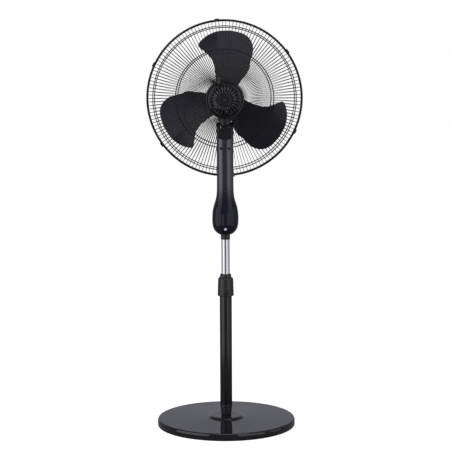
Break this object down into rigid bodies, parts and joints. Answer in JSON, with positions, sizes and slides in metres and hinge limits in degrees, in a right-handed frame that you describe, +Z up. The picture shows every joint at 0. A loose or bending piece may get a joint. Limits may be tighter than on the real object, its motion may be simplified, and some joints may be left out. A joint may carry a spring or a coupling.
{
  "type": "pedestal fan",
  "caption": "Pedestal fan with a round weighted base, telescopic pole, control pod, tilting and oscillating head, three-blade impeller and two wire grilles.",
  "frame": {"origin": "middle of the base, on the floor", "axes": "+Z up, +Y the way the air blows, +X to the right seen from behind"},
  "size_m": [0.465, 0.404, 1.1905],
  "materials": {
    "gloss_black": "high gloss moulded plastic",
    "satin_black": "satin moulded plastic",
    "painted_tube": "gloss black paint on steel tube",
    "wire_black": "powder coated wire",
    "blade_plastic": "semi-gloss moulded plastic",
    "chrome": "polished",
    "steel": "zinc plated",
    "cast_iron": "as cast",
    "cast_aluminium": "die cast",
    "rubber": "matte",
    "bronze": "sintered bush",
    "copper": "enamelled winding",
    "button_grey": "satin",
    "capacitor_case": "smooth",
    "gear_white": "acetal"
  },
  "bodies": {
    "stand": {"base_cover": "gloss_black", "base_weight": "cast_iron", "base_feet": "rubber", "base_nut": "satin_black", "tube_foot": "satin_black", "lower_tube": "painted_tube", "collet": "satin_black"},
    "lock_collar": {"lock_collar": "satin_black"},
    "mast": {"inner_tube": "chrome", "tube_guide": "satin_black", "tube_socket": "satin_black", "clamp_screw": "steel", "rear_shell": "gloss_black", "front_shell": "gloss_black", "shell_screws": "steel", "control_panel": "satin_black", "switch_block": "satin_black", "capacitor": "capacitor_case", "cord_gland": "satin_black", "tilt_housing": "satin_black", "tilt_bolt": "steel"},
    "button_high": {"button_high": "button_grey"},
    "button_medium": {"button_medium": "button_grey"},
    "button_low": {"button_low": "button_grey"},
    "button_off": {"button_off": "button_grey"},
    "neck": {"neck": "satin_black"},
    "head": {"pivot_shaft": "steel", "rear_bracket": "cast_aluminium", "front_bracket": "cast_aluminium", "shaft_bearings": "bronze", "stator_core": "steel", "stator_coils": "copper", "gearbox_plate": "steel", "gearbox_case": "cast_aluminium", "rear_cover": "gloss_black", "cover_screw": "steel", "front_cover": "gloss_black", "rear_grille_wires": "wire_black", "rear_grille_frame": "wire_black", "rear_plate": "wire_black", "grille_nut": "satin_black", "front_grille_wires": "wire_black", "front_grille_frame": "wire_black", "front_badge": "gloss_black"},
    "rotor": {"rotor_core": "steel", "motor_shaft": "steel", "blade_pin": "steel", "fan_blade": "blade_plastic", "spinner_nut": "satin_black"},
    "worm_gear": {"worm_gear": "gear_white"},
    "crank_gear": {"crank_gear": "gear_white"},
    "drive_link": {"drive_link": "steel"},
    "clutch_knob": {"clutch_knob": "satin_black"},
    "rim_clip_1": {"rim_clip_1": "satin_black"},
    "rim_clip_2": {"rim_clip_2": "satin_black"},
    "rim_clip_3": {"rim_clip_3": "satin_black"},
    "rim_clip_4": {"rim_clip_4": "satin_black"},
    "rim_clip_5": {"rim_clip_5": "satin_black"},
    "rim_clip_6": {"rim_clip_6": "satin_black"}
  },
  "joints": [
    {"name": "height_slide", "type": "slide", "parent": "stand", "child": "mast", "axis": [0, 0, 1], "range_m": [-0.09, 0.13]},
    {"name": "collar_twist", "type": "hinge", "parent": "stand", "child": "lock_collar", "pos_m": [0, 0, 0.41], "axis": [0, 0, 1], "range_deg": [0, 60]},
    {"name": "head_tilt", "type": "hinge", "parent": "mast", "child": "neck", "pos_m": [0, 0, 0.868], "axis": [1, 0, 0], "range_deg": [-15, 20]},
    {"name": "oscillation", "type": "hinge", "parent": "neck", "child": "head", "pos_m": [0, 0, 0.9], "axis": [0, 0, 1], "range_deg": [-40, 40]},
    {"name": "link_swing", "type": "hinge", "parent": "neck", "child": "drive_link", "pos_m": [0.016, -0.014, 0.921], "axis": [0, 0, 1], "range_deg": [-40, 40]},
    {"name": "blade_spin", "type": "hinge", "parent": "head", "child": "rotor", "pos_m": [0, 0, 0.956], "axis": [0, 1, 0], "continuous": true},
    {"name": "worm_gear_spin", "type": "hinge", "parent": "head", "child": "worm_gear", "pos_m": [-0.016, -0.044, 0.942], "axis": [0, 0, 1], "continuous": true},
    {"name": "crank_spin", "type": "hinge", "parent": "head", "child": "crank_gear", "pos_m": [0.002, -0.0305, 0.927], "axis": [0, 0, 1], "continuous": true},
    {"name": "clutch_pull", "type": "slide", "parent": "head", "child": "clutch_knob", "axis": [0, 0, 1], "range_m": [0, 0.006]},
    {"name": "press_high", "type": "slide", "parent": "mast", "child": "button_high", "axis": [0, -1, 0], "range_m": [0, 0.003], "stiffness_N_per_m": 300},
    {"name": "press_medium", "type": "slide", "parent": "mast", "child": "button_medium", "axis": [0, -1, 0], "range_m": [0, 0.003], "stiffness_N_per_m": 300},
    {"name": "press_low", "type": "slide", "parent": "mast", "child": "button_low", "axis": [0, -1, 0], "range_m": [0, 0.003], "stiffness_N_per_m": 300},
    {"name": "press_off", "type": "slide", "parent": "mast", "child": "button_off", "axis": [0, -1, 0], "range_m": [0, 0.003], "stiffness_N_per_m": 300},
    {"name": "clip_1_open", "type": "hinge", "parent": "head", "child": "rim_clip_1", "pos_m": [0.18487, 0.1374, 1.09165], "axis": [-0.5916, 0, 0.8063], "range_deg": [0, 70]},
    {"name": "clip_2_open", "type": "hinge", "parent": "head", "child": "rim_clip_2", "pos_m": [-0.02147, 0.1374, 1.18429], "axis": [-0.9956, 0, -0.0936], "range_deg": [0, 70]},
    {"name": "clip_3_open", "type": "hinge", "parent": "head", "child": "rim_clip_3", "pos_m": [-0.20692, 0.1374, 1.0548], "axis": [-0.4309, 0, -0.9024], "range_deg": [0, 70]},
    {"name": "clip_4_open", "type": "hinge", "parent": "head", "child": "rim_clip_4", "pos_m": [-0.18487, 0.1374, 0.82035], "axis": [0.5916, 0, -0.8063], "range_deg": [0, 70]},
    {"name": "clip_5_open", "type": "hinge", "parent": "head", "child": "rim_clip_5", "pos_m": [0.02147, 0.1374, 0.72771], "axis": [0.9956, 0, 0.0936], "range_deg": [0, 70]},
    {"name": "clip_6_open", "type": "hinge", "parent": "head", "child": "rim_clip_6", "pos_m": [0.20692, 0.1374, 0.8572], "axis": [0.4309, 0, 0.9024], "range_deg": [0, 70]}
  ],
  "couplings": [
    {"joint": "link_swing", "follows": "oscillation", "ratio": 1},
    {"joint": "worm_gear_spin", "follows": "blade_spin", "ratio": -0.035714},
    {"joint": "crank_spin", "follows": "blade_spin", "ratio": 0.010045}
  ]
}
